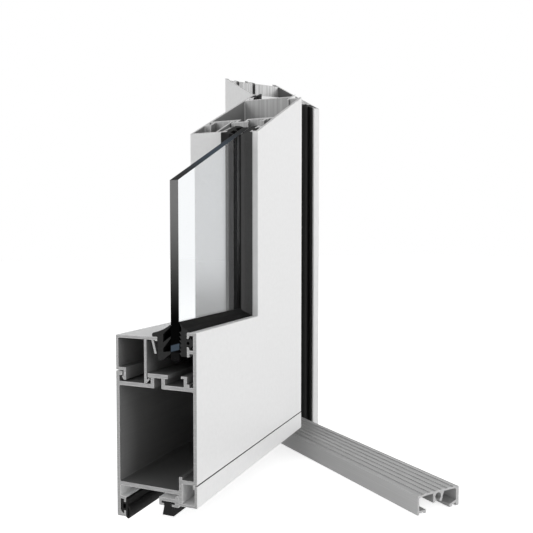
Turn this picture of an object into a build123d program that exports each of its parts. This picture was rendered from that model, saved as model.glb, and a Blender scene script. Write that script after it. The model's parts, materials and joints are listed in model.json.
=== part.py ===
from build123d import *
from math import cos, radians, sin
import os

os.makedirs("parts", exist_ok=True)

# The frame stands on Z = 0, and its wall side is at X = 0. The sill runs along +X, and the
# leaf opens towards -Y. A leaf section is drawn as (a, b): a is the depth from the white
# face, and b is the height over the foot of the rail.

# leaf section
opening = 52.46            # degrees that the leaf stands open
leaf_depth = 50.0
sash_height = 92.5
step_height = 12.3         # foot of the white wall, where the shoe begins
wall = 2.0
web = 2.1
web_height = 6.0           # under the hollow
mid_web_height = 61.5      # over the hollow
bead_seat = 7.7            # the seat of the bead over the foot of the middle web
leg_drop = 11.3            # how far the overlap leg hangs under the rail
leg_channel = 5.5
inner_wall_at = 9.0
inner_wall = 1.8
inner_wall_foot = 1.5
inner_wall_rise = 3.3
shoe_hook = 0.9
lip_reach = 5.65
lip = 1.6
slot_at = 21.2
slot_width = 4.65
slot_leg = 2.0
slot_flange = 2.1
inside_radius = 0.8
outside_radius = 0.5

# leaf lengths
rail_length = 172.3        # cut end to the line on which rail and stile meet
top_cut_start = 171.6      # slanted top cut, over the cut end of the rail
top_cut_rise = 0.4516

# glazing
glass_thickness = 5.0
glass_at = 10.3
glass_cover = 10.9         # how deep the glass stands in the sash
glass_gap = 0.1
bead_below = 3.5           # top of the bead under the top of the sash
bead_wall = 1.5
bead_gap = 0.6
bead_lip_at = 23.7
bead_web_at = 30.5
clip_gap = 0.9
tooth_pitch = 2.2
tooth_count = 6
tooth_depth = 1.3
lip_cover = 1.8            # of the toothed gasket over the white lip
bulb_hole = 0.85
wedge_rise = 7.4           # foot of the wedge gasket over the seat of the bead
block_height = 4.2
block_length = 70.0
block_setback = 30.0

# shoe and seals
shoe_wall = 1.5
shoe_floor = 1.4
shoe_reach = 23.2
shoe_gap = 0.25
shoe_seam = 0.4            # between the white wall and the shoe
shoe_lip = 1.1
head_width = 8.3
drop_seal_reach = 6.2
seal_reach = 3.15
seal_head = 1.2
seal_skin = 0.9
seal_gap = 0.15

# jamb
jamb_width = 50.0
jamb_depth = 52.0
jamb_wall = 2.0
jamb_height = 301.8        # at the wall side
jamb_cut_rise = 0.475
wall_web_at = 6.5
wall_leg_at = 21.2         # middle leg, from the front of the jamb
wall_leg = 2.3
wall_lip = 1.6             # returns of the front and back walls on the wall side
wall_lip_reach = 1.2
port_hole = 2.3
port_wall = 1.0
port_mouth = 2.3
groove_hole = 1.6
groove_at = 8.4
port_at = 24.4
stop_reach = 22.3
stop_plate = 1.4
stop_lip = 1.8
stop_slot = 2.2
stop_slot_width = 10.6
stop_mouth = 7.2
stop_end = 1.6

# sill
sill_length = 200.8
sill_depth = 32.6
sill_height = 12.2
sill_crown = 0.8          # the top is higher than its front and back edges
sill_front_slope = 7.0
sill_back_slope = 4.5
sill_top = 1.4
sill_front = 1.1
sill_back = 2.2
sill_grooves = 7
sill_groove_depth = 0.4
sill_groove_width = 2.0
sill_foot = 1.3
sill_foot_reach = 6.3
sill_foot_rise = 1.2       # flange over the floor
sill_port_at = 15.8
sill_port_foot = 5.2
sill_web = 1.5
sill_rear_foot_at = 25.0

# fits between frame and leaf
sill_clearance = 6.6       # under the leaf
hinge_gap = 9.5            # web of the stile to the jamb
overlap_at = 38.4          # depth on the leaf that lies level with the jamb's front
stop_gasket_gap = 0.6

# hinge
pivot_past = 7.5           # axis past the jamb's inner side
pivot_out = 37.8           # axis in front of the jamb
pin_radius = 5.0
barrel_radius = 10.0
hinge_foot = 60.0
knuckle_height = 30.0
knuckle_gap = 1.0
plate_width = 30.0
plate_thickness = 5.0
plate_edge = 14.0          # edge of the jamb's plate from its inner side
leaf_plate_from = 15.0     # near edge of the leaf's plate from the axis
arm_width = 10.0
arm_out = 24.0
pin_head = 3.0
running_gap = 0.08

# where the leaf lies
front = -wall_leg_at
leaf_zero_x = jamb_width + hinge_gap + rail_length - web_height
leaf_zero_y = front + overlap_at
leaf_zero_z = sill_height + sill_clearance
pivot = Vector(jamb_width + pivot_past, front - pivot_out, 0)
pivot_x = leaf_zero_x - pivot.X
pivot_y = leaf_zero_y - pivot.Y
leaf_x = Vector(-cos(radians(opening)), sin(radians(opening)), 0)
leaf_y = Vector(-leaf_x.Y, leaf_x.X, 0)
leaf_origin = pivot - leaf_x * pivot_x - leaf_y * pivot_y + Vector(0, 0, leaf_zero_z)


def leaf_point(x, y, z):
    return leaf_origin + leaf_x * x + leaf_y * y + Vector(0, 0, z)


def leaf_way(x, z):
    return leaf_x * x + Vector(0, 0, z)


rail_plane = Plane(leaf_point(0, 0, 0), x_dir=leaf_y, z_dir=leaf_x)
stile_plane = Plane(leaf_point(rail_length, 0, 0), x_dir=leaf_y, z_dir=(0, 0, 1))
leaf_plane = Plane(leaf_point(0, 0, 0), x_dir=leaf_x, z_dir=(0, 0, 1))
mitre = Plane(leaf_point(rail_length, 0, 0), x_dir=leaf_y, z_dir=leaf_way(1, 1))
top_cut = Plane(leaf_point(0, 0, top_cut_start), x_dir=leaf_y, z_dir=leaf_way(-top_cut_rise, 1))
jamb_cut = Plane((0, 0, jamb_height), x_dir=(0, 1, 0), z_dir=(jamb_cut_rise, 0, 1))
stile_length = top_cut_start + top_cut_rise * (rail_length + leg_drop) + jamb_wall


def bar(a0, a1, b0, b1, mode=Mode.ADD):
    with Locations(((a0 + a1) / 2, (b0 + b1) / 2)):
        Rectangle(a1 - a0, b1 - b0, mode=mode)


def shape(*points, mode=Mode.ADD):
    with BuildLine() as outline:
        Polyline(*points, close=True)
    make_face(outline.edges(), mode=mode)


def round_near(sketch, radius, *points):
    corners = [sketch.vertices().sort_by_distance(point)[0] for point in points]
    fillet(corners, radius)


def rail_of(section):
    with BuildSketch(rail_plane) as cut_end:
        add(section)
    extrude(cut_end.sketch, amount=rail_length + leg_drop)
    split(bisect_by=mitre, keep=Keep.BOTTOM)


def stile_of(section):
    with BuildSketch(stile_plane) as cut_end:
        add(section)
    extrude(cut_end.sketch, amount=stile_length, both=True)
    split(bisect_by=mitre, keep=Keep.TOP)
    split(bisect_by=top_cut, keep=Keep.BOTTOM)


# sash section, the same for rail and stile
inner_face = inner_wall_at + inner_wall
bead_inside = leaf_depth - wall
mid_top = mid_web_height + web
bead_line = mid_web_height + bead_seat
slot_end = slot_at + slot_width
arm_foot = sash_height - 11.1
arm_top = arm_foot + 1.7
nib_depth = 1.35
nib_at = lip_reach - nib_depth
hook_stub = 4.0
hook_height = 2.2
leg_inside = leaf_depth - leg_channel
leg_floor = -leg_drop + 1.6
lip_foot = sash_height - 2.05 * lip


def hollow_walls():
    bar(0, wall, step_height, sash_height)
    bar(wall, inner_wall_at, step_height, step_height + web - 0.2)
    bar(inner_wall_at, inner_face, inner_wall_foot, step_height + inner_wall_rise)
    bar(inner_face, bead_inside, web_height, web_height + web)
    bar(bead_inside, leaf_depth, -leg_drop, bead_line)
    bar(wall, slot_at, mid_web_height, mid_top)
    bar(slot_end, bead_inside, mid_web_height, mid_top)
    bar(shoe_wall + 0.1, shoe_wall + 0.1 + shoe_hook, step_height - 2.3, step_height)


def bead_hooks():
    bar(slot_at - slot_leg, slot_at, mid_web_height, bead_line)
    bar(slot_end, slot_end + slot_leg, mid_web_height, bead_line)
    bar(slot_at - 3.8, slot_end + 4.0, bead_line - slot_flange, bead_line)
    bar(5.85, 7.6, mid_top, bead_line)
    bar(7.6, 9.3, bead_line - 1.2, bead_line)
    bar(4.4, 5.85, mid_top, mid_top + 1.6)
    bar(leaf_depth - hook_stub, leaf_depth, bead_line - hook_height, bead_line)


def gasket_channel():
    bar(0, lip_reach, sash_height - lip, sash_height)
    shape((nib_at, sash_height - lip), (lip_reach, sash_height - lip), (lip_reach, lip_foot),
          (nib_at + 0.5, lip_foot))
    bar(wall, nib_at + 0.1, arm_foot, arm_top)
    shape((nib_at, arm_foot - 1.75), (lip_reach, arm_foot - 1.75), (lip_reach, arm_foot + 3.45),
          (nib_at + 0.6, arm_foot + 3.45), (nib_at, arm_foot + 2.2))


def leg_hooks():
    bar(leg_inside, bead_inside, -1.5, 0)
    bar(leg_inside, leg_inside + 1.1, -3.2, 0)
    bar(leg_inside, bead_inside, -leg_drop, leg_floor)
    bar(leg_inside, leg_inside + 1.1, -leg_drop, leg_floor + 1.7)
    shape((bead_inside, leg_floor + 1.8), (bead_inside, leg_floor), (bead_inside - 1.2, leg_floor))


with BuildSketch() as sash_section:
    hollow_walls()
    bead_hooks()
    gasket_channel()
    leg_hooks()
    round_near(sash_section, outside_radius, (0, sash_height), (0, step_height), (leaf_depth, -leg_drop),
               (leg_inside, -leg_drop), (lip_reach, sash_height))
    round_near(sash_section, inside_radius, (bead_inside, web_height + web), (inner_face, web_height + web),
               (bead_inside, mid_web_height), (wall, mid_web_height), (bead_inside, web_height))

with BuildPart() as bottom_rail:
    rail_of(sash_section.sketch)

with BuildPart() as hinge_stile:
    stile_of(sash_section.sketch)

# glazing bead
bead_top = sash_height - bead_below
bead_foot = bead_line + bead_gap
clip_at = leaf_depth - hook_stub - clip_gap
clip = 1.35
bead_web = 1.4
bead_toe = bead_line - 5.3
slant_foot = bead_top - 8.8

with BuildSketch() as bead_section:
    bar(leaf_depth - bead_wall, leaf_depth, bead_foot, bead_top)
    bar(bead_lip_at, leaf_depth, bead_top - bead_wall, bead_top)
    bar(bead_lip_at, bead_lip_at + 1.5, bead_top - 2.0, bead_top + 0.2)
    bar(bead_web_at, bead_web_at + bead_web, bead_toe, bead_top)
    shape((bead_web_at + bead_web, bead_toe), (bead_web_at, bead_toe), (bead_web_at - 1.8, bead_toe + 2.0),
          (bead_web_at - 1.6, bead_toe + 2.9), (bead_web_at, bead_toe + 1.7))
    shape((bead_lip_at + 2.5, bead_top - 1), (bead_lip_at + 3.7, bead_top - 1),
          (bead_lip_at + 1.6, slant_foot), (bead_lip_at + 0.4, slant_foot))
    bar(clip_at - clip, leaf_depth, bead_foot, bead_foot + bead_wall)
    bar(clip_at - clip, clip_at, bead_toe + 0.7, bead_foot + bead_wall)
    shape((clip_at - clip, bead_toe + 0.7), (clip_at, bead_toe + 0.7), (clip_at + 1.2, bead_toe + 2.6),
          (clip_at, bead_toe + 2.8))
    round_near(bead_section, outside_radius, (leaf_depth, bead_top), (bead_lip_at, bead_top + 0.2))
    round_near(bead_section, inside_radius, (leaf_depth - bead_wall, bead_top - bead_wall),
               (leaf_depth - bead_wall, bead_foot + bead_wall))

with BuildPart() as rail_bead:
    rail_of(bead_section.sketch)

with BuildPart() as stile_bead:
    stile_of(bead_section.sketch)

# glass and setting block
glass_edge = sash_height - glass_cover
glass_face = glass_at + glass_thickness
glass_width = rail_length - glass_edge

with BuildPart() as glass_pane:
    with BuildSketch(rail_plane):
        bar(glass_at, glass_face, glass_edge, stile_length)
    extrude(amount=glass_width)
    split(bisect_by=top_cut, keep=Keep.BOTTOM)

with BuildPart() as setting_block:
    with BuildSketch(rail_plane):
        bar(glass_at, glass_face, glass_edge - block_height, glass_edge)
    extrude(amount=block_length)
    with BuildSketch(rail_plane.offset(block_setback)):
        bar(glass_at, glass_face, mid_top, glass_edge - block_height)
    extrude(amount=block_length - block_setback)

# finned wedge gasket between bead and glass
wedge_back = bead_lip_at - 0.2
wedge_front = 20.0
wedge_foot = bead_line + wedge_rise
fin_tip = glass_face + glass_gap
flap = bead_top + 0.3
lip_root = flap + 1.6

with BuildSketch() as wedge_section:
    with BuildLine():
        Polyline((wedge_front, lip_root), (wedge_front, wedge_foot + 0.7), (wedge_back - 0.5, wedge_foot),
                 (wedge_back, wedge_foot + 2.0), (wedge_back, flap), (wedge_back + 3.3, flap))
        ThreePointArc((wedge_back + 3.3, flap), (wedge_back + 3.3, flap + 1.2),
                      (wedge_back + 2.1, flap + 2.2))
        ThreePointArc((wedge_back + 2.1, flap + 2.2), (wedge_front - 0.4, flap + 4.3), (fin_tip, flap + 6.9))
        Line((fin_tip, flap + 6.9), (fin_tip, flap + 5.8))
        ThreePointArc((fin_tip, flap + 5.8), (fin_tip + 2.4, flap + 3.6), (wedge_front, lip_root))
    make_face()
    shape((wedge_front, flap - 6.0), (wedge_front, flap - 2.8), (fin_tip, flap + 0.6),
          (fin_tip, flap - 0.4))
    shape((wedge_front, wedge_foot + 0.7), (wedge_front, wedge_foot + 4.8), (fin_tip, wedge_foot + 5.3),
          (fin_tip, wedge_foot + 4.2))

with BuildPart() as rail_wedge_gasket:
    rail_of(wedge_section.sketch)

with BuildPart() as stile_wedge_gasket:
    stile_of(wedge_section.sketch)

# toothed gasket between the white lip and the glass
tooth_back = lip_reach + seal_gap
tooth_tip = glass_at - glass_gap
tooth_root = tooth_tip - tooth_depth
tooth_foot = arm_foot - 1.7
tooth_top = tooth_foot + tooth_count * tooth_pitch
bulb_at = sash_height - 5.6


def teeth():
    for i in range(tooth_count):
        foot = tooth_foot + i * tooth_pitch
        shape((tooth_root - 0.1, foot), (tooth_root, foot), (tooth_tip, foot + 0.8 * tooth_pitch),
              (tooth_root, foot + tooth_pitch), (tooth_root - 0.1, foot + tooth_pitch))


with BuildSketch() as toothed_section:
    shape((tooth_back, tooth_foot), (tooth_root, tooth_foot), (tooth_root, tooth_top + 1.8),
          (tooth_tip, tooth_top + 4.8), (lip_reach + 2.8, sash_height + 3.0),
          (lip_reach + 1.7, sash_height + 2.2), (lip_reach - 0.6, sash_height + 1.1),
          (lip_reach - lip_cover, sash_height + 0.4), (lip_reach - lip_cover, sash_height + seal_gap),
          (tooth_back, sash_height + seal_gap))
    teeth()
    shape((tooth_back, bulb_at - 1.6), (nib_at + 0.1, bulb_at - 1.7), (nib_at - 0.8, bulb_at - 2.7),
          (wall + 0.4, bulb_at - 1.3), (wall + 0.4, bulb_at + 1.4), (nib_at - 0.8, bulb_at + 3.0),
          (nib_at - 0.2, bulb_at + 1.9), (tooth_back, bulb_at + 1.7))
    with Locations((lip_reach - 0.65, bulb_at)):
        Circle(bulb_hole, mode=Mode.SUBTRACT)

with BuildPart() as rail_toothed_gasket:
    rail_of(toothed_section.sketch)

with BuildPart() as stile_toothed_gasket:
    stile_of(toothed_section.sketch)

# shoe and drop seal, cut off square at the edge of the white face
shoe_length = rail_length - step_height
shoe_in = inner_face + shoe_gap
channel_in = shoe_reach - shoe_floor - head_width
seat = shoe_floor + 1.6

with BuildSketch() as shoe_section:
    bar(0, shoe_wall, 0, step_height - shoe_seam)
    bar(0, shoe_in + 0.5, 0, shoe_floor - 0.1)
    shape((shoe_in, 0), (shoe_in + 1.6, 0), (shoe_in + 2.0, 4.6), (shoe_in + 0.6, 5.2), (shoe_in, 3.6))
    bar(shoe_in, shoe_reach, shoe_floor, seat)
    bar(shoe_reach - shoe_floor, shoe_reach, -shoe_lip, seat)
    bar(shoe_reach - 3.0, shoe_reach, -shoe_lip, 0)
    bar(shoe_in, channel_in + 1.8, -shoe_lip, 0)
    bar(shoe_in, channel_in, -shoe_lip, shoe_floor)
    round_near(shoe_section, outside_radius, (0, 0), (shoe_reach, -shoe_lip), (shoe_in, -shoe_lip))

with BuildPart() as rail_shoe:
    with BuildSketch(rail_plane):
        add(shoe_section.sketch)
    extrude(amount=shoe_length)

neck_in = channel_in + 1.8 + seal_gap
neck_out = shoe_reach - 3.0 - seal_gap

with BuildPart() as drop_seal:
    with BuildSketch(rail_plane):
        bar(channel_in + seal_gap, shoe_reach - shoe_floor - seal_gap, seal_gap, shoe_floor - seal_gap)
        bar(neck_in, neck_out, -shoe_lip - 0.2, seal_gap)
        shape((neck_in, -shoe_lip - 0.2), (neck_out, -shoe_lip - 0.2), (neck_out + 1.0, -drop_seal_reach),
              (neck_in - 1.3, -drop_seal_reach))
    extrude(amount=shoe_length)

# hollow edge seal in the overlap leg
seal_tip = leg_inside - seal_reach
seal_back = leg_inside - 0.1
seal_face = seal_back - seal_head
seal_low = -leg_drop - 0.8

with BuildSketch() as edge_seal_section:
    bar(leg_inside + 1.2, bead_inside - seal_gap, -leg_drop + 3.6, -1.65)
    shape((leg_inside + 1.25, -leg_drop + 3.7), (leg_inside + 1.25, -leg_drop + 2.0),
          (leg_inside + 2.1, -leg_drop + 2.0), (leg_inside + 3.2, -leg_drop + 3.7))
    bar(seal_back - 0.2, leg_inside + 1.3, -leg_drop + 3.5, -3.4)
    with BuildLine():
        Polyline((seal_face + 0.2, seal_low), (seal_back, -leg_drop), (seal_back, -0.8), (seal_face, -1.5),
                 (seal_face, -4.8), (seal_tip + 0.8, -5.4))
        ThreePointArc((seal_tip + 0.8, -5.4), (seal_tip, -leg_drop + 3.2), (seal_face - 0.6, seal_low))
        Line((seal_face - 0.6, seal_low), (seal_face + 0.2, seal_low))
    make_face()
    with BuildLine():
        Polyline((seal_tip + seal_skin + 0.5, -leg_drop + 0.4), (seal_face - 0.1, -leg_drop + 0.4),
                 (seal_face - 0.1, -6.2), (seal_tip + seal_skin + 0.5, -6.2))
        ThreePointArc((seal_tip + seal_skin + 0.5, -6.2), (seal_tip + seal_skin, -leg_drop + 3.0),
                      (seal_tip + seal_skin + 0.5, -leg_drop + 0.4))
    make_face(mode=Mode.SUBTRACT)
    with Locations((leg_inside + 0.9, -5.5)):
        Rectangle(1.7, 2.6, mode=Mode.SUBTRACT)

with BuildPart() as rail_edge_seal:
    rail_of(edge_seal_section.sketch)

with BuildPart() as stile_edge_seal:
    stile_of(edge_seal_section.sketch)

# hollow corner cleat inside the mitre
cleat_gap = 0.3
cleat_wall = 3.5
cleat_arm = 12.0
cleat_low = step_height + inner_wall_rise + cleat_gap
cleat_high = mid_web_height - cleat_gap
cleat_near = wall + cleat_gap
cleat_far = bead_inside - cleat_gap
cleat_inner = rail_length - cleat_high
cleat_outer = rail_length - cleat_low

with BuildPart() as corner_cleat:
    with BuildSketch(Plane(leaf_point(0, cleat_near, 0), x_dir=leaf_x, z_dir=-leaf_y)):
        shape((cleat_inner - cleat_arm, cleat_low), (cleat_outer, cleat_low),
              (cleat_outer, cleat_high + cleat_arm), (cleat_inner, cleat_high + cleat_arm),
              (cleat_inner, cleat_high), (cleat_inner - cleat_arm, cleat_high))
        offset(amount=-cleat_wall, kind=Kind.INTERSECTION, mode=Mode.SUBTRACT)
    extrude(amount=cleat_near - cleat_far)

# jamb: hollow with two screw ports behind its web, three legs to the wall, and the stop
web_inside = wall_web_at + jamb_wall
stop_lip_at = jamb_depth - stop_plate - stop_slot - stop_lip
stop_end_at = jamb_width + stop_reach
slot_outer = stop_end_at - stop_end
slot_inner = slot_outer - stop_slot_width
mouth_outer = slot_outer - (stop_slot_width - stop_mouth) / 2
mouth_inner = mouth_outer - stop_mouth


def screw_port(depth, hole):
    with Locations((web_inside - hole - port_wall / 2, depth)):
        Circle(hole + port_wall)
        Circle(hole, mode=Mode.SUBTRACT)
        Rectangle(2 * (hole + port_wall), port_mouth, align=(Align.MIN, Align.CENTER), mode=Mode.SUBTRACT)


def stop_leg():
    bar(jamb_width - jamb_wall, stop_end_at, jamb_depth - stop_plate, jamb_depth)
    bar(slot_outer, stop_end_at, stop_lip_at, jamb_depth)
    bar(slot_inner - stop_end, slot_inner, stop_lip_at, jamb_depth)
    bar(mouth_outer, stop_end_at, stop_lip_at, stop_lip_at + stop_lip)
    bar(jamb_width - jamb_wall, mouth_inner, stop_lip_at, stop_lip_at + stop_lip)


with BuildSketch() as jamb_section:
    bar(0, jamb_width, 0, jamb_wall)
    bar(0, jamb_width, jamb_depth - jamb_wall, jamb_depth)
    bar(0, wall_lip, 0, jamb_wall + wall_lip_reach)
    bar(0, wall_lip, jamb_depth - jamb_wall - wall_lip_reach, jamb_depth)
    bar(jamb_width - jamb_wall, jamb_width, 0, jamb_depth)
    bar(wall_web_at, web_inside, 0, jamb_depth)
    bar(0, web_inside, wall_leg_at - wall_leg / 2, wall_leg_at + wall_leg / 2)
    screw_port(groove_at, groove_hole)
    screw_port(port_at, port_hole)
    stop_leg()
    round_near(jamb_section, outside_radius, (jamb_width, 0), (0, 0), (stop_end_at, jamb_depth),
               (stop_end_at, stop_lip_at), (0, jamb_depth))
    round_near(jamb_section, inside_radius, (jamb_width - jamb_wall, jamb_wall),
               (jamb_width, stop_lip_at))

jamb_plane = Plane((0, front, 0))

with BuildPart() as hinge_jamb:
    with BuildSketch(jamb_plane):
        add(jamb_section.sketch)
    extrude(amount=jamb_height)
    split(bisect_by=jamb_cut, keep=Keep.BOTTOM)

# stop gasket: foot in the slot, a cover over both of its lips and a hollow bulb
cover = 1.5
bulb = 3.1
bulb_skin = 1.0
bulb_back = 4.2            # centre of the bulb from the outer side of the mouth
gasket_tip = overlap_at + stop_gasket_gap
gasket_foot = stop_lip_at - seal_gap
gasket_mid = (mouth_inner + mouth_outer) / 2
foot_half = (stop_slot_width - 0.8) / 2
cover_half = (stop_slot_width - 0.4) / 2
neck_half = (stop_mouth - 0.4) / 2

with BuildSketch() as stop_gasket_section:
    bar(gasket_mid - foot_half, gasket_mid + foot_half, stop_lip_at + stop_lip + seal_gap,
        jamb_depth - stop_plate - seal_gap)
    bar(gasket_mid - neck_half, gasket_mid + neck_half, gasket_foot - cover / 2,
        stop_lip_at + stop_lip + stop_slot / 2)
    bar(gasket_mid - cover_half, gasket_mid + cover_half, gasket_foot - cover, gasket_foot)
    with Locations((mouth_outer - bulb_back, gasket_tip + bulb)):
        Circle(bulb)
        Rectangle(1.1 * bulb, gasket_foot - cover / 2 - gasket_tip - bulb, align=(Align.CENTER, Align.MIN))
        Circle(bulb - bulb_skin, mode=Mode.SUBTRACT)
    round_near(stop_gasket_section, outside_radius, (gasket_mid + cover_half, gasket_foot - cover))

with BuildPart() as stop_gasket:
    with BuildSketch(jamb_plane):
        add(stop_gasket_section.sketch)
    extrude(amount=jamb_height)
    split(bisect_by=jamb_cut, keep=Keep.BOTTOM)

# sill
sill_plane = Plane((jamb_width, front, 0), x_dir=(0, 1, 0), z_dir=(1, 0, 0))
sill_end = sill_depth - sill_back
sill_edge = sill_height - sill_crown
crown_end = sill_depth - sill_back_slope
groove_pitch = sill_depth / sill_grooves
plate_low = sill_height - sill_top
port_mid = plate_low - port_hole
flange_top = sill_foot_rise + sill_foot


def top_at(depth):
    slope = min(depth / sill_front_slope, (sill_depth - depth) / sill_back_slope, 1)
    return sill_edge + sill_crown * slope


def top_plate():
    shape((0, sill_edge - sill_top), (0, sill_edge), (sill_front_slope, sill_height),
          (crown_end, sill_height), (sill_depth, sill_edge), (sill_depth, sill_edge - sill_top),
          (crown_end, plate_low), (sill_front_slope, plate_low))


def grooves():
    for i in range(sill_grooves):
        near = (i + 0.75) * groove_pitch - sill_groove_width / 2
        far = near + sill_groove_width
        shape((near, top_at(near) - sill_groove_depth), (far, top_at(far) - sill_groove_depth),
              (far, sill_height + 1), (near, sill_height + 1), mode=Mode.SUBTRACT)


def feet():
    bar(0, sill_front, 0, sill_edge)
    bar(0, sill_foot_reach, sill_foot_rise, flange_top)
    bar(sill_foot_reach - sill_foot, sill_foot_reach, sill_foot_rise / 2, flange_top)
    bar(sill_end, sill_depth, 0, sill_edge)
    shape((sill_rear_foot_at, 0), (sill_rear_foot_at + 2, 0), (sill_rear_foot_at + 2, 1.0),
          (sill_end, 2.0), (sill_end, 3.5), (sill_rear_foot_at, 1.9))


def sill_port():
    port_far = sill_port_at + port_hole
    with Locations((sill_port_at, port_mid)):
        Circle(port_hole + port_wall)
    bar(sill_port_at - port_hole - sill_web, sill_port_at - port_hole, sill_port_foot, plate_low)
    shape((port_far + sill_web + 0.9, plate_low), (port_far, plate_low), (port_far, port_mid),
          (port_far - 0.6, sill_port_foot), (port_far + 0.6, sill_port_foot),
          (port_far + sill_web, port_mid))
    with Locations((sill_port_at, port_mid)):
        Circle(port_hole, mode=Mode.SUBTRACT)
        Rectangle(port_mouth, 8, align=(Align.CENTER, Align.MAX), mode=Mode.SUBTRACT)


with BuildSketch() as sill_section:
    sill_port()
    top_plate()
    grooves()
    feet()
    round_near(sill_section, inside_radius, (sill_end, sill_edge - sill_top),
               (sill_front, sill_edge - sill_top))

with BuildPart() as threshold:
    with BuildSketch(sill_plane):
        add(sill_section.sketch)
    extrude(amount=sill_length)

# hinge: cranked plates on jamb and leaf, with the barrel in front
hinge_height = 3 * knuckle_height
top_knuckle = hinge_foot + 2 * knuckle_height
bore = pin_radius + running_gap
jamb_plate_edge = jamb_width - plate_edge
plate_top_y = front - plate_thickness
jamb_plate_low = jamb_plate_edge - plate_width


def jamb_arm():
    shape((jamb_plate_edge - arm_width, front), (jamb_plate_edge, front), (jamb_plate_edge, front - arm_out),
          (pivot.X + 3, pivot.Y + barrel_radius - 0.6), (pivot.X - 5, pivot.Y - barrel_radius + 1.6),
          (jamb_plate_edge - arm_width, front - arm_out - 8))
    with Locations((pivot.X, pivot.Y)):
        Circle(barrel_radius)


with BuildPart() as jamb_hinge:
    with BuildSketch(Plane.XY.offset(hinge_foot)) as jamb_plate:
        bar(jamb_plate_low, jamb_plate_edge, plate_top_y, front)
        round_near(jamb_plate, outside_radius, (jamb_plate_low, plate_top_y))
    extrude(amount=hinge_height)
    for foot in (hinge_foot, top_knuckle):
        with BuildSketch(Plane.XY.offset(foot)):
            jamb_arm()
        extrude(amount=knuckle_height)
    with BuildSketch(Plane.XY.offset(hinge_foot)):
        with Locations((pivot.X, pivot.Y)):
            Circle(bore)
    extrude(amount=hinge_height, mode=Mode.SUBTRACT)

leaf_plate_high = pivot_x - leaf_plate_from
leaf_plate_top = leaf_depth + plate_thickness

with BuildPart() as leaf_hinge:
    with BuildSketch(leaf_plane.offset(hinge_foot - leaf_zero_z)):
        bar(leaf_plate_high - plate_width, leaf_plate_high, leaf_depth, leaf_plate_top)
    extrude(amount=hinge_height)
    with BuildSketch(leaf_plane.offset(hinge_foot + knuckle_height + knuckle_gap - leaf_zero_z)):
        shape((leaf_plate_high - arm_width, leaf_depth), (leaf_plate_high, leaf_depth),
              (pivot_x + barrel_radius - 2, pivot_y - 5), (pivot_x - 3, pivot_y + barrel_radius - 0.6))
        with Locations((pivot_x, pivot_y)):
            Circle(barrel_radius)
            Circle(bore, mode=Mode.SUBTRACT)
    extrude(amount=knuckle_height - 2 * knuckle_gap)

with BuildPart() as hinge_pin:
    with BuildSketch(Plane.XY.offset(hinge_foot)):
        with Locations((pivot.X, pivot.Y)):
            Circle(pin_radius)
    extrude(amount=hinge_height)
    with BuildSketch(Plane.XY.offset(hinge_foot + hinge_height)):
        with Locations((pivot.X, pivot.Y)):
            Circle(pin_radius + 2)
    extrude(amount=pin_head)

bottom_rail.part.label = "bottom_rail"
hinge_stile.part.label = "hinge_stile"
rail_bead.part.label = "rail_bead"
stile_bead.part.label = "stile_bead"
glass_pane.part.label = "glass_pane"
setting_block.part.label = "setting_block"
rail_wedge_gasket.part.label = "rail_wedge_gasket"
stile_wedge_gasket.part.label = "stile_wedge_gasket"
rail_toothed_gasket.part.label = "rail_toothed_gasket"
stile_toothed_gasket.part.label = "stile_toothed_gasket"
rail_shoe.part.label = "rail_shoe"
drop_seal.part.label = "drop_seal"
rail_edge_seal.part.label = "rail_edge_seal"
stile_edge_seal.part.label = "stile_edge_seal"
corner_cleat.part.label = "corner_cleat"
hinge_jamb.part.label = "hinge_jamb"
stop_gasket.part.label = "stop_gasket"
threshold.part.label = "threshold"
jamb_hinge.part.label = "jamb_hinge"
leaf_hinge.part.label = "leaf_hinge"
hinge_pin.part.label = "hinge_pin"

export_step(bottom_rail.part, "parts/bottom_rail.step")
export_step(hinge_stile.part, "parts/hinge_stile.step")
export_step(rail_bead.part, "parts/rail_bead.step")
export_step(stile_bead.part, "parts/stile_bead.step")
export_step(glass_pane.part, "parts/glass_pane.step")
export_step(setting_block.part, "parts/setting_block.step")
export_step(rail_wedge_gasket.part, "parts/rail_wedge_gasket.step")
export_step(stile_wedge_gasket.part, "parts/stile_wedge_gasket.step")
export_step(rail_toothed_gasket.part, "parts/rail_toothed_gasket.step")
export_step(stile_toothed_gasket.part, "parts/stile_toothed_gasket.step")
export_step(rail_shoe.part, "parts/rail_shoe.step")
export_step(drop_seal.part, "parts/drop_seal.step")
export_step(rail_edge_seal.part, "parts/rail_edge_seal.step")
export_step(stile_edge_seal.part, "parts/stile_edge_seal.step")
export_step(corner_cleat.part, "parts/corner_cleat.step")
export_step(hinge_jamb.part, "parts/hinge_jamb.step")
export_step(stop_gasket.part, "parts/stop_gasket.step")
export_step(threshold.part, "parts/threshold.step")
export_step(jamb_hinge.part, "parts/jamb_hinge.step")
export_step(leaf_hinge.part, "parts/leaf_hinge.step")
export_step(hinge_pin.part, "parts/hinge_pin.step")
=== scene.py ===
import json
import math

import bpy
import numpy as np
from mathutils import Matrix, Vector


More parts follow.
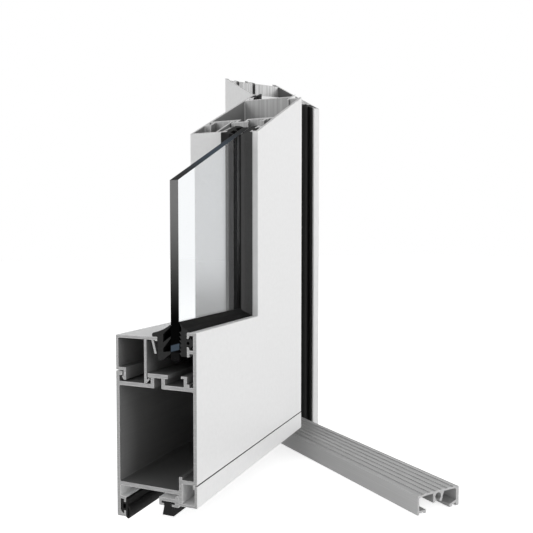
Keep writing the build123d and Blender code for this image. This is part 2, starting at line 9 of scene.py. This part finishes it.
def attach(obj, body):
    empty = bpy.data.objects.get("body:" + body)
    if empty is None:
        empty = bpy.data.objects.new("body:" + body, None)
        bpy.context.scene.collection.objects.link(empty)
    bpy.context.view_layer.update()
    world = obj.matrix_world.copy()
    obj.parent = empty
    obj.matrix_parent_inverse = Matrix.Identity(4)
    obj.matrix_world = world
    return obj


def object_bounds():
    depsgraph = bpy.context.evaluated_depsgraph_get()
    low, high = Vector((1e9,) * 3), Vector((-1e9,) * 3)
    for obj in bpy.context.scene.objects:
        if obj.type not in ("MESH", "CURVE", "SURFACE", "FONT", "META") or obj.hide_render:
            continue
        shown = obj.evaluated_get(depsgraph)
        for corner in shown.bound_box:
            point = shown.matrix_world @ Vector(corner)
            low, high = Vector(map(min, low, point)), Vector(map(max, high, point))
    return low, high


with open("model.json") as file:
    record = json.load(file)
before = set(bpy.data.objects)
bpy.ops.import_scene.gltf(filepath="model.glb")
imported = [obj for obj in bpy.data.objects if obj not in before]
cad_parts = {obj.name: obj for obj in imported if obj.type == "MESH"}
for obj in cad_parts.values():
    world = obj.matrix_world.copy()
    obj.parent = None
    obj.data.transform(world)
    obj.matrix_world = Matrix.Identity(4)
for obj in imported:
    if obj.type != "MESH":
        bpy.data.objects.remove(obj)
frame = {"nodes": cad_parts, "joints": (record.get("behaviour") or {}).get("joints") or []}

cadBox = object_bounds()
mm = 0.001
print("frame loaded,", len(frame["nodes"]), "nodes")

# The leaf stands open by the upper limit of its hinge. leafX runs from the cut end of the
# rail to the hinge, leafY from the white face to the bead side.
openAngle = math.radians(frame["joints"][0]["range_deg"][1])
leafX = Vector((-math.cos(openAngle), math.sin(openAngle), 0))
leafY = Vector((-math.sin(openAngle), -math.cos(openAngle), 0))
rowX = Vector((1, 0, 0))
rowY = Vector((0, 1, 0))
upZ = Vector((0, 0, 1))


def nodePoints(name):
    mesh = frame["nodes"][name].data
    points = np.empty(len(mesh.vertices) * 3, np.float32)
    mesh.vertices.foreach_get("co", points)
    return points.reshape(-1, 3)


def lowest(name, way):
    return float((nodePoints(name) @ np.array(way)).min())


# node helpers

def addNode(tree, kind, **values):
    node = tree.nodes.new("ShaderNode" + kind)
    for key, value in values.items():
        setattr(node, key, value)
    return node


def feed(tree, socket, value):
    if isinstance(value, bpy.types.NodeSocket):
        tree.links.new(value, socket)
    else:
        socket.default_value = value


def calc(tree, operation, first, second=0.0, third=0.0):
    node = addNode(tree, "Math", operation=operation)
    for socket, value in zip(node.inputs, (first, second, third)):
        feed(tree, socket, value)
    return node.outputs[0]


def product(tree, first, *others):
    for other in others:
        first = calc(tree, "MULTIPLY", first, other)
    return first


def above(tree, value, low):
    return calc(tree, "GREATER_THAN", value, low)


def below(tree, value, high):
    return calc(tree, "LESS_THAN", value, high)


def between(tree, value, low, high):
    return product(tree, above(tree, value, low), below(tree, value, high))


def dot(tree, vector, way):
    node = addNode(tree, "VectorMath", operation="DOT_PRODUCT")
    feed(tree, node.inputs[0], vector)
    feed(tree, node.inputs[1], way)
    return node.outputs["Value"]


def smooth(tree, value, low, high, start=0.0, end=1.0):
    node = addNode(tree, "MapRange", interpolation_type="SMOOTHSTEP")
    for socket, number in zip(node.inputs, (value, low, high, start, end)):
        feed(tree, socket, number)
    return node.outputs[0]


def grey(level):
    return (level, level, level, 1)


def blend(tree, share, first, second):
    # A Mix node's colours are its inputs 6 and 7, and its output 2.
    node = addNode(tree, "Mix", data_type="RGBA")
    feed(tree, node.inputs["Factor"], share)
    for socket, value in zip((node.inputs[6], node.inputs[7]), (first, second)):
        feed(tree, socket, grey(value) if isinstance(value, (int, float)) else value)
    return node.outputs[2]


def shade(tree, share, first, second):
    # A Mix node's plain numbers are its inputs 2 and 3.
    node = addNode(tree, "Mix", data_type="FLOAT")
    feed(tree, node.inputs["Factor"], share)
    feed(tree, node.inputs[2], first)
    feed(tree, node.inputs[3], second)
    return node.outputs[0]


def noise(tree, vector, scale, detail):
    node = addNode(tree, "TexNoise")
    feed(tree, node.inputs["Vector"], vector)
    node.inputs["Scale"].default_value = scale
    node.inputs["Detail"].default_value = detail
    return node.outputs["Fac"]


def stretched(tree, vector, factors):
    node = addNode(tree, "VectorMath", operation="MULTIPLY")
    feed(tree, node.inputs[0], vector)
    node.inputs[1].default_value = factors
    return node.outputs[0]


def newMaterial(name):
    material = bpy.data.materials.new(name)
    material.use_nodes = True
    tree = material.node_tree
    return material, tree, tree.nodes["Principled BSDF"]


def bump(tree, shader, height, depth):
    node = addNode(tree, "Bump")
    node.inputs["Strength"].default_value = 1
    node.inputs["Distance"].default_value = depth
    feed(tree, node.inputs["Height"], height)
    tree.links.new(node.outputs["Normal"], shader.inputs["Normal"])


# A profile's own space in millimetres: along its length, then across its section and up it.

def profileSpace(along, across, rise, start=(0, 0, 0)):
    return {"along": along, "across": across, "rise": rise, "start": start}


leafStart = (lowest("bottom_rail", leafX) / mm, lowest("bottom_rail", leafY) / mm,
             lowest("bottom_rail", upZ) / mm)
stileStart = (leafStart[2], leafStart[1], lowest("hinge_stile", -leafX) / mm)
jambStart = (0, 0, lowest("hinge_jamb", rowY) / mm)
railSpace = profileSpace(leafX, leafY, upZ, leafStart)
stileSpace = profileSpace(upZ, leafY, -leafX, stileStart)
jambSpace = profileSpace(upZ, rowX, rowY, jambStart)
sillSpace = profileSpace(rowX, rowY, upZ)


def placeIn(tree, space):
    coords = addNode(tree, "TexCoord")
    parts = []
    for way, start in zip(("along", "across", "rise"), space["start"]):
        reach = dot(tree, coords.outputs["Object"], space[way] / mm)
        parts.append(calc(tree, "SUBTRACT", reach, start))
    joined = addNode(tree, "CombineXYZ")
    for socket, part in zip(joined.inputs, parts):
        feed(tree, socket, part)
    return joined.outputs[0], parts


# How much of a normal points one way: more than "cut" along the profile on a cut end, more
# than "face" on a face that looks that way, and the rest where a chamber's sides get painted shade.
lean = {"cut": 0.1, "face": 0.5, "sideShadeStart": 0.4, "sideShadeFull": 0.9}


def facing(tree, way):
    coords = addNode(tree, "TexCoord")
    return dot(tree, coords.outputs["Normal"], way)


def facingEither(tree, way):
    return calc(tree, "ABSOLUTE", facing(tree, way))


def cutShare(tree, space):
    return above(tree, facingEither(tree, space["along"]), lean["cut"])


edgeTurn = {"samples": 4, "start": 0.999, "full": 0.9}


def rimShare(tree, radius):
    # The more the rounded normal turns from the true one, the nearer the edge is.
    coords = addNode(tree, "NewGeometry")
    rounded = addNode(tree, "Bevel", samples=edgeTurn["samples"])
    rounded.inputs["Radius"].default_value = radius
    turn = dot(tree, coords.outputs["True Normal"], rounded.outputs[0])
    return smooth(tree, turn, edgeTurn["start"], edgeTurn["full"])


grain = {"low": 0.25, "high": 0.75}


def grained(tree, value, low, high):
    return smooth(tree, value, grain["low"], grain["high"], low, high)


def cornerShade(tree, along, corner, share):
    # Painted shade: darker towards the foot of a corner, on the faces that the share picks out.
    dim = smooth(tree, along, corner["foot"], corner["clear"], corner["level"], 1.0)
    return shade(tree, share, 1.0, dim)


# The rim is a painted highlight along the edges of each cut end.
sawn = {
    "rim": 0.84, "rimWidth": 0.38 * mm, "roughness": 0.5, "metal": 0.25,
    "line": 0.1, "lineWidth": 2.4, "lineLength": 0.06,
}


def sawnLines(tree, place):
    return noise(tree, stretched(tree, place, (1, sawn["lineLength"], 1)), sawn["lineWidth"], detail=3)


def sawnColour(tree, lines, colour, line, rim):
    plain = grained(tree, lines, colour - line, colour + line)
    return shade(tree, rimShare(tree, sawn["rimWidth"]), plain, rim)


# The mills are one bare aluminium in lit and shaded copies: each colour and sawn colour is set paler or
# darker to stand for the light in its own chambers and on its cut ends.
railMill = {
    "colour": 0.27, "roughness": 0.5, "metal": 0.2, "streak": 0.04, "streakWidth": 0.9,
    "streakLength": 0.012, "shadedWay": upZ, "sideShade": 0.62, "sawn": 0.39,
}
stileMill = {
    "colour": 0.35, "roughness": 0.45, "metal": 0.35, "streak": 0.2, "streakWidth": 1.1,
    "streakLength": 0.01, "shadedWay": leafY, "sideShade": 0.68, "sawn": 0.62,
}
jambMill = {
    "colour": 0.42, "roughness": 0.45, "metal": 0.35, "streak": 0.3, "streakWidth": 0.9,
    "streakLength": 0.01, "shadedWay": rowY, "sideShade": 0.4, "sawn": 0.55,
}


def millStreaks(tree, place, length, width):
    return noise(tree, stretched(tree, place, (length, 1, 1)), width, detail=5)


def millColour(tree, streaks, mill):
    colour, streak = mill["colour"], mill["streak"]
    plain = grained(tree, streaks, colour * (1 - streak), colour * (1 + streak))
    # Painted shade: the chamber sides that face the shaded way are darker.
    side = smooth(tree, facingEither(tree, mill["shadedWay"]), lean["sideShadeStart"], lean["sideShadeFull"])
    return shade(tree, side, plain, colour * mill["sideShade"])


coat = {
    "colour": 0.83, "roughness": 0.42, "mottle": 0.012, "mottleSize": 0.35,
    "mottleLow": 0.3, "mottleHigh": 0.7, "peel": 0.9, "peelDepth": 0.012 * mm,
}
# The seam paints shade along the joint of rail and shoe: a darker strip on the lips of the gap.
seam = {"low": 23.0, "high": 23.8, "deep": 1.4, "level": 0.25}      # joint of rail and shoe
# Painted shade on the stile bead's reveal, darker towards the rail bead.
beadCornerShade = {"foot": 100.0, "clear": 138.0, "level": 0.32}         # the stile bead's reveal


def coatColour(tree, place, parts, space, corner):
    along, depth, height = parts
    mottle = noise(tree, place, coat["mottleSize"], detail=4)
    colour = smooth(tree, mottle, coat["mottleLow"], coat["mottleHigh"],
                    coat["colour"] - coat["mottle"], coat["colour"] + coat["mottle"])
    if corner:
        # Painted shade on the faces that look along the leaf.
        reveal = above(tree, facingEither(tree, leafX), lean["face"])
        colour = product(tree, colour, cornerShade(tree, along, corner, reveal))
    if space is railSpace:                          # painted shade in the joint
        seamShade = product(tree, between(tree, height, seam["low"], seam["high"]),
                       below(tree, depth, seam["deep"]))
        colour = product(tree, colour, shade(tree, seamShade, 1.0, seam["level"]))
    return colour


def coatedProfile(name, space, insideTest=None, mill=railMill, corner=None):
    # Satin coat outside, plain aluminium in the chambers and sawn metal on the cut ends.
    material, tree, shader = newMaterial(name)
    place, parts = placeIn(tree, space)
    cut = cutShare(tree, space)
    inside = insideTest(tree, parts) if insideTest else 0.0
    streaks = millStreaks(tree, place, mill["streakLength"], mill["streakWidth"])
    lines = sawnLines(tree, place)
    coated = coatColour(tree, place, parts, space, corner)
    side = shade(tree, inside, coated, millColour(tree, streaks, mill))
    end = sawnColour(tree, lines, mill["sawn"], sawn["line"], sawn["rim"])
    feed(tree, shader.inputs["Base Color"], shade(tree, cut, side, end))
    roughness = shade(tree, inside, coat["roughness"], mill["roughness"])
    feed(tree, shader.inputs["Roughness"], shade(tree, cut, roughness, sawn["roughness"]))
    metal = shade(tree, inside, 0.0, mill["metal"])
    feed(tree, shader.inputs["Metallic"], shade(tree, cut, metal, sawn["metal"]))
    peel = noise(tree, place, coat["peel"], detail=3)
    height = shade(tree, cut, shade(tree, inside, peel, streaks), lines)
    bump(tree, shader, height, coat["peelDepth"])
    return material


# In the leaf the height counts from the tip of the overlap leg.
sash = {"skin": 1.9, "depth": 50.0, "floor": 18.3, "step": 24.5, "innerWall": 9.4, "top": 102.5}


def insideSash(tree, parts):
    depth, height = parts[1:]
    within = between(tree, depth, sash["skin"], sash["depth"] - sash["skin"])
    foot = shade(tree, below(tree, depth, sash["innerWall"]), sash["floor"], sash["step"])
    return product(tree, within, between(tree, height, foot, sash["top"]))


beadInside = {"skin": 1.2, "depth": 50.0, "top": 99.5}


def insideBead(tree, parts):
    depth, height = parts[1:]
    before = below(tree, depth, beadInside["depth"] - beadInside["skin"])
    return product(tree, before, below(tree, height, beadInside["top"]))


jambInside = {"skin": 1.9, "width": 50.0, "depth": 52.0, "wall": -1.0}


def insideJamb(tree, parts):
    width, depth = parts[1:]
    before = between(tree, width, jambInside["wall"], jambInside["width"] - jambInside["skin"])
    within = between(tree, depth, jambInside["skin"], jambInside["depth"] - jambInside["skin"])
    return product(tree, before, within)


# The gaskets are one black rubber in lit and shaded copies: each colour and cut colour is set paler or
# darker to stand for the light where the gasket sits.
railRubber = {"colour": 0.009, "cutColour": 0.036, "roughness": 0.6, "specular": 0.05, "mottle": 0.12}
stileRubber = {"colour": 0.066, "cutColour": 0.014, "roughness": 0.6, "specular": 0.05, "mottle": 0.04}
wedgeRubber = {"colour": 0.024, "cutColour": 0.014, "roughness": 0.6, "specular": 0.04, "mottle": 0.04}
sealRubber = {"colour": 0.011, "cutColour": 0.018, "roughness": 0.6, "specular": 0.1, "mottle": 0.12}
stopRubber = {"colour": 0.013, "cutColour": 0.018, "roughness": 0.6, "specular": 0.12, "mottle": 0.12}
blockPlastic = {"colour": 0.005, "cutColour": 0.006, "roughness": 0.7, "specular": 0.05, "mottle": 0.1}
rubberSkin = {"mottleSize": 0.8, "grainSize": 2.5, "grainDepth": 0.02 * mm}
joint = {"open": 9.4, "glass": 9.9, "level": 0.03}
lip = {"front": 14.6, "glass": 15.9, "end": 19.8, "edge": 0.8, "level": 0.06}


def jointShade(tree, depth):
    # Painted shade: black where the toothed gasket rounds away from the glass.
    return shade(tree, smooth(tree, depth, joint["open"], joint["glass"]), 1.0, joint["level"])


def lipShade(tree, depth):
    # Painted shade: the wedge gasket's lip is darker beside the glass, where it stands in its own shade.
    band = product(tree, smooth(tree, depth, lip["front"], lip["glass"]),
                   smooth(tree, depth, lip["end"], lip["end"] - lip["edge"]))
    return shade(tree, band, 1.0, lip["level"])


def rubberProfile(name, space, rubber, byGlass=None):
    material, tree, shader = newMaterial(name)
    place, parts = placeIn(tree, space)
    mottle = noise(tree, place, rubberSkin["mottleSize"], detail=4)
    share = grained(tree, mottle, 1 - rubber["mottle"], 1 + rubber["mottle"])
    if byGlass:
        share = product(tree, share, byGlass(tree, parts[1]))
    level = shade(tree, cutShare(tree, space), rubber["colour"], rubber["cutColour"])
    feed(tree, shader.inputs["Base Color"], product(tree, level, share))
    shader.inputs["Roughness"].default_value = rubber["roughness"]
    shader.inputs["Specular IOR Level"].default_value = rubber["specular"]
    bump(tree, shader, noise(tree, place, rubberSkin["grainSize"], detail=3), rubberSkin["grainDepth"])
    return material


sillMetal = {"colour": 0.49, "roughness": 0.5, "metal": 0.2, "streak": 0.05}
cleatMetal = {"colour": 0.45, "roughness": 0.6, "metal": 0.4, "streak": 0.08}
pinMetal = {"colour": 0.6, "roughness": 0.3, "metal": 1.0, "streak": 0.05}
screwMetal = {"colour": 0.55, "roughness": 0.35, "metal": 1.0, "streak": 0.08}
# The rim is a painted highlight along the edges of a cut end.
bare = {"streakLength": 0.012, "streakWidth": 1.4, "streakDepth": 0.01 * mm, "line": 0.05, "rim": 1.3}
# Painted shade on the threshold's top, darker towards the jamb beside the leaf.
sillCornerShade = {"foot": 85.0, "clear": 220.0, "level": 0.74}          # the top beside the leaf


def metalProfile(name, space, metal, corner=None):
    material, tree, shader = newMaterial(name)
    place, parts = placeIn(tree, space)
    colour, streak = metal["colour"], metal["streak"]
    streaks = millStreaks(tree, place, bare["streakLength"], bare["streakWidth"])
    side = grained(tree, streaks, colour * (1 - streak), colour * (1 + streak))
    if corner:
        # The painted shade falls on the upward faces only.
        upward = above(tree, facing(tree, upZ), lean["face"])
        side = product(tree, side, cornerShade(tree, parts[0], corner, upward))
    end = sawnColour(tree, sawnLines(tree, place), colour, bare["line"], colour * bare["rim"])
    feed(tree, shader.inputs["Base Color"], shade(tree, cutShare(tree, space), side, end))
    shader.inputs["Roughness"].default_value = metal["roughness"]
    shader.inputs["Metallic"].default_value = metal["metal"]
    bump(tree, shader, streaks, bare["streakDepth"])
    return material


# Depths and heights of the pane are those of the rail's space.
pane = {
    "tint": (0.93, 0.95, 0.965, 1), "ior": 1.5, "specular": 0.07, "face": 10.3,
    # The end's colours, the top's and the arrises' are painted light and shade on the glass edge.
    "endLow": 108.5, "endHigh": 178.0, "endDark": 0.003, "endLight": 0.26,
    "topStart": 3.0, "topMiddle": 45.0, "topEnd": 88.0, "topDark": 0.065,
    "topHighlight": (0.097, 0.12, 0.148, 1), "patchLight": (0.075, 0.1, 0.13, 1),
    "patchLow": 94.5, "patchHigh": 97.8, "patchLean": 0.29, "patchEdge": 0.3,
    "arrisHighlight": 0.3, "endArris": 0.08, "arrisWidth": 0.3 * mm, "gasketTop": 108.6, "gasketSide": 75.0,
    "edgeRoughness": 0.3, "edgeGrain": 1.5, "edgeGrainDepth": 0.01 * mm,
}


def patchShare(tree, depth, height):
    # A slanted band: its height is counted as higher, the deeper it lies in the glass.
    depthInGlass = calc(tree, "SUBTRACT", depth, pane["face"])
    level = calc(tree, "MULTIPLY_ADD", depthInGlass, pane["patchLean"], height)
    low, high, edge = pane["patchLow"], pane["patchHigh"], pane["patchEdge"]
    return product(tree, smooth(tree, level, low - edge, low + edge),
                   smooth(tree, level, high + edge, high - edge))


def edgeColour(tree, parts):
    # The edge's colours are painted light and shade. The end is painted black between the gaskets
    # and greyer upwards, with a paler patch of painted light where light comes through. The slanted
    # top is paler and bluer in its middle, a painted highlight. The top's arrises get a painted
    # highlight and the end's are dark grey, where the glass stands free of the gaskets.
    along, depth, height = parts
    end = smooth(tree, height, pane["endLow"], pane["endHigh"], pane["endDark"], pane["endLight"])
    end = blend(tree, patchShare(tree, depth, height), end, pane["patchLight"])
    middle = product(tree, smooth(tree, along, pane["topStart"], pane["topMiddle"]),
                     smooth(tree, along, pane["topEnd"], pane["topMiddle"]))
    top = blend(tree, middle, pane["topDark"], pane["topHighlight"])
    upward = above(tree, facing(tree, upZ), lean["face"])
    free = smooth(tree, height, pane["gasketTop"], pane["endHigh"])
    rim = product(tree, rimShare(tree, pane["arrisWidth"]), free)
    level = shade(tree, upward, pane["endArris"], pane["arrisHighlight"])
    return blend(tree, rim, blend(tree, upward, end, top), level)


def clearShare(tree, parts):
    # Only the two faces are clear, and where they stand between the gaskets they take the edge's painted
    # shade.
    along, height = parts[0], parts[2]
    free = product(tree, above(tree, height, pane["gasketTop"]), below(tree, along, pane["gasketSide"]))
    return product(tree, free, above(tree, facingEither(tree, leafY), lean["face"]))


def paneGlass(name):
    material, tree, shader = newMaterial(name)
    place, parts = placeIn(tree, railSpace)
    shader.inputs["Base Color"].default_value = pane["tint"]
    shader.inputs["Roughness"].default_value = 0
    shader.inputs["IOR"].default_value = pane["ior"]
    shader.inputs["Specular IOR Level"].default_value = pane["specular"]
    shader.inputs["Transmission Weight"].default_value = 1
    edge = addNode(tree, "BsdfPrincipled")
    feed(tree, edge.inputs["Base Color"], edgeColour(tree, parts))
    edge.inputs["Roughness"].default_value = pane["edgeRoughness"]
    edge.inputs["Specular IOR Level"].default_value = 0
    bump(tree, edge, noise(tree, place, pane["edgeGrain"], detail=3), pane["edgeGrainDepth"])
    mixed = addNode(tree, "MixShader")
    feed(tree, mixed.inputs[0], clearShare(tree, parts))
    feed(tree, mixed.inputs[1], edge.outputs[0])
    feed(tree, mixed.inputs[2], shader.outputs[0])
    feed(tree, tree.nodes["Material Output"].inputs["Surface"], mixed.outputs[0])
    return material


def dress(material, *names):
    for name in names:
        slots = frame["nodes"][name].data.materials
        slots.clear()
        slots.append(material)


dress(coatedProfile("railCoat", railSpace, insideSash), "bottom_rail")
dress(coatedProfile("stileCoat", stileSpace, insideSash, stileMill), "hinge_stile")
dress(coatedProfile("railBeadCoat", railSpace, insideBead), "rail_bead")
dress(coatedProfile("stileBeadCoat", stileSpace, insideBead, stileMill, beadCornerShade), "stile_bead")
dress(coatedProfile("shoeCoat", railSpace), "rail_shoe")
dress(coatedProfile("jambCoat", jambSpace, insideJamb, jambMill), "hinge_jamb")
dress(coatedProfile("hingeCoat", jambSpace), "jamb_hinge", "leaf_hinge")
dress(rubberProfile("railRubber", railSpace, railRubber), "rail_wedge_gasket", "rail_toothed_gasket")
dress(rubberProfile("sealRubber", railSpace, sealRubber), "rail_edge_seal", "drop_seal")
dress(rubberProfile("stileRubber", stileSpace, stileRubber, jointShade), "stile_toothed_gasket")
dress(rubberProfile("wedgeRubber", stileSpace, wedgeRubber, lipShade), "stile_wedge_gasket")
dress(rubberProfile("edgeRubber", stileSpace, sealRubber), "stile_edge_seal")
dress(rubberProfile("stopRubber", jambSpace, stopRubber), "stop_gasket")
dress(metalProfile("sillAluminium", sillSpace, sillMetal, sillCornerShade), "threshold")
dress(metalProfile("cleatAluminium", railSpace, cleatMetal), "corner_cleat")
dress(metalProfile("pinSteel", jambSpace, pinMetal), "hinge_pin")
dress(rubberProfile("blockPlastic", railSpace, blockPlastic), "setting_block")
dress(paneGlass("clearGlass"), "glass_pane")
print("materials on the frame's nodes")

screw = {
    "head": 4.1 * mm, "shank": 2.2 * mm, "dome": 0.35 * mm, "sink": 2.4 * mm, "socket": 1.6 * mm,
    "socketDepth": 1.7 * mm, "headRings": (0.6, 0.85, 0.97, 1.0), "domeRings": (1.0, 0.75, 0.3, -0.05),
    "columns": 48, "sharpAngle": 25, "heights": (0.072, 0.105, 0.138), "jambX": 0.016,
    "jambFace": 5.0, "leafX": 133.0, "leafFace": 55.0,
}


def screwRings():
    # One radius a ring, but in the socket half its width over the cosine of the angle from
    # the middle of the nearest of its six sides. The head is a low dome on a cone.
    turn = np.linspace(0, 2 * np.pi, screw["columns"], endpoint=False)
    sixth = np.pi / 3
    hexagon = screw["socket"] / np.cos((turn + sixth / 2) % sixth - sixth / 2)
    circles = np.append(np.array(screw["headRings"]) * screw["head"], screw["shank"])
    radii = np.vstack([hexagon, hexagon, circles[:, None] * np.ones(len(turn))])
    dome = np.array(screw["domeRings"]) * screw["dome"]
    rises = np.concatenate([[-screw["socketDepth"], dome[0]], dome, [-screw["sink"]]])
    return radii, rises, turn


def screwFaces(rows, columns, count):
    # Quads from each ring to the next, closed by the first ring and by the last one turned round.
    index = np.arange(rows * columns).reshape(rows, columns)
    nextOne = np.roll(index, -1, axis=1)
    quads = np.stack([index[:-1], index[1:], nextOne[1:], nextOne[:-1]], axis=-1).reshape(-1, 4)
    faces = []
    for start in range(0, count * rows * columns, rows * columns):
        faces += (quads + start).tolist()
        faces += [(index[0] + start).tolist(), (index[-1][::-1] + start).tolist()]
    return faces


def screwHeads(name, places, outward, body, material):
    # Each point is its screw's place, plus a radius along a spoke and a rise along the axis.
    radii, rises, turn = screwRings()
    outward = np.array(outward)
    side = np.array(upZ)
    other = np.cross(outward, side)
    spokes = np.cos(turn)[:, None] * side + np.sin(turn)[:, None] * other
    one = radii[:, :, None] * spokes + rises[:, None, None] * outward
    points = np.array(places)[:, None, None, :] + one
    mesh = bpy.data.meshes.new(name)
    mesh.from_pydata(points.reshape(-1, 3).tolist(), [], screwFaces(*radii.shape, len(places)))
    mesh.shade_smooth()
    mesh.set_sharp_from_angle(angle=math.radians(screw["sharpAngle"]))
    mesh.materials.append(material)
    made = bpy.data.objects.new(name, mesh)
    bpy.context.scene.collection.objects.link(made)
    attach(made, body)


screwSteel = metalProfile("screwSteel", jambSpace, screwMetal)
jambPlate = (jambStart[2] - screw["jambFace"]) * mm
jambPlaces = [(screw["jambX"], jambPlate, z) for z in screw["heights"]]
screwHeads("jambScrews", jambPlaces, (0, -1, 0), "frame", screwSteel)
leafPlate = leafX * (leafStart[0] + screw["leafX"]) * mm + leafY * (leafStart[1] + screw["leafFace"]) * mm
leafPlaces = [leafPlate + upZ * z for z in screw["heights"]]
screwHeads("leafScrews", leafPlaces, leafY, "leaf", screwSteel)
print("screws on the hinge plates")

studio = {
    "worldLevel": 0.42,
    "lamps": (
        {"name": "faceLamp", "way": (0.79, 0.61, 0.03), "distance": 1.4, "size": 1.3, "power": 15.5},
        {"name": "frontLamp", "way": (-0.12, -0.99, 0.03), "distance": 1.4, "size": 1.3, "power": 8.2},
    ),
}


def addLamps():
    low, high = cadBox
    centre = (low + high) / 2
    for lamp in studio["lamps"]:
        data = bpy.data.lights.new(lamp["name"], "AREA")
        data.size = lamp["size"]
        data.energy = lamp["power"]
        made = bpy.data.objects.new(lamp["name"], data)
        way = Vector(lamp["way"]).normalized()
        spot = Matrix.Translation(centre + way * lamp["distance"])
        made.matrix_world = spot @ (-way).to_track_quat("-Z", "Y").to_matrix().to_4x4()
        made.visible_camera = False
        bpy.context.scene.collection.objects.link(made)


def seenShare(tree):
    rays = addNode(tree, "LightPath")
    seen = calc(tree, "MAXIMUM", rays.outputs["Is Camera Ray"], rays.outputs["Is Glossy Ray"])
    return calc(tree, "MAXIMUM", seen, rays.outputs["Is Transmission Ray"])


def addWorld():
    # White where it is seen, and dimmer as a light.
    world = bpy.data.worlds.new("studioWorld")
    world.use_nodes = True
    tree = world.node_tree
    background = tree.nodes["Background"]
    background.inputs["Color"].default_value = grey(1)
    feed(tree, background.inputs["Strength"], shade(tree, seenShare(tree), studio["worldLevel"], 1.0))
    bpy.context.scene.world = world


# The lift makes the lit floor white for the camera. Seen in a gloss or through the glass, the
# floor gets the lower one.
floorLook = {
    "colour": 0.95, "roughness": 0.9, "lift": 0.7, "glassLift": 0.57, "reach": 4.0, "below": 0.2 * mm,
}


def addFloor():
    reach, level = floorLook["reach"], -floorLook["below"]
    mesh = bpy.data.meshes.new("floor")
    corners = [(x * reach, y * reach, level) for x, y in ((-1, -1), (1, -1), (1, 1), (-1, 1))]
    mesh.from_pydata(corners, [], [(0, 1, 2, 3)])
    material, tree, shader = newMaterial("floorPaper")
    shader.inputs["Base Color"].default_value = grey(floorLook["colour"])
    shader.inputs["Roughness"].default_value = floorLook["roughness"]
    shader.inputs["Specular IOR Level"].default_value = 0
    shader.inputs["Emission Color"].default_value = grey(1)
    rays = addNode(tree, "LightPath")
    lift = shade(tree, rays.outputs["Is Camera Ray"], floorLook["glassLift"], floorLook["lift"])
    feed(tree, shader.inputs["Emission Strength"], product(tree, seenShare(tree), lift))
    mesh.materials.append(material)
    made = bpy.data.objects.new("floor", mesh)
    bpy.context.scene.collection.objects.link(made)


photoView = {
    "place": (0.5311, -0.2813, 0.1608), "heading": 60.341, "tilt": -2.559,
    "lens": 44.35, "sensor": 36.0, "nearest": 0.01,
}


def addCamera():
    data = bpy.data.cameras.new("photoCamera")
    data.lens = photoView["lens"]
    data.sensor_width = photoView["sensor"]
    data.clip_start = photoView["nearest"]
    made = bpy.data.objects.new("photoCamera", data)
    made.location = photoView["place"]
    made.rotation_euler = (math.radians(90 + photoView["tilt"]), 0, math.radians(photoView["heading"]))
    bpy.context.scene.collection.objects.link(made)
    bpy.context.scene.camera = made


addWorld()
addLamps()
addFloor()
addCamera()
bpy.context.scene.view_settings.view_transform = "Standard"
print("studio and camera set")
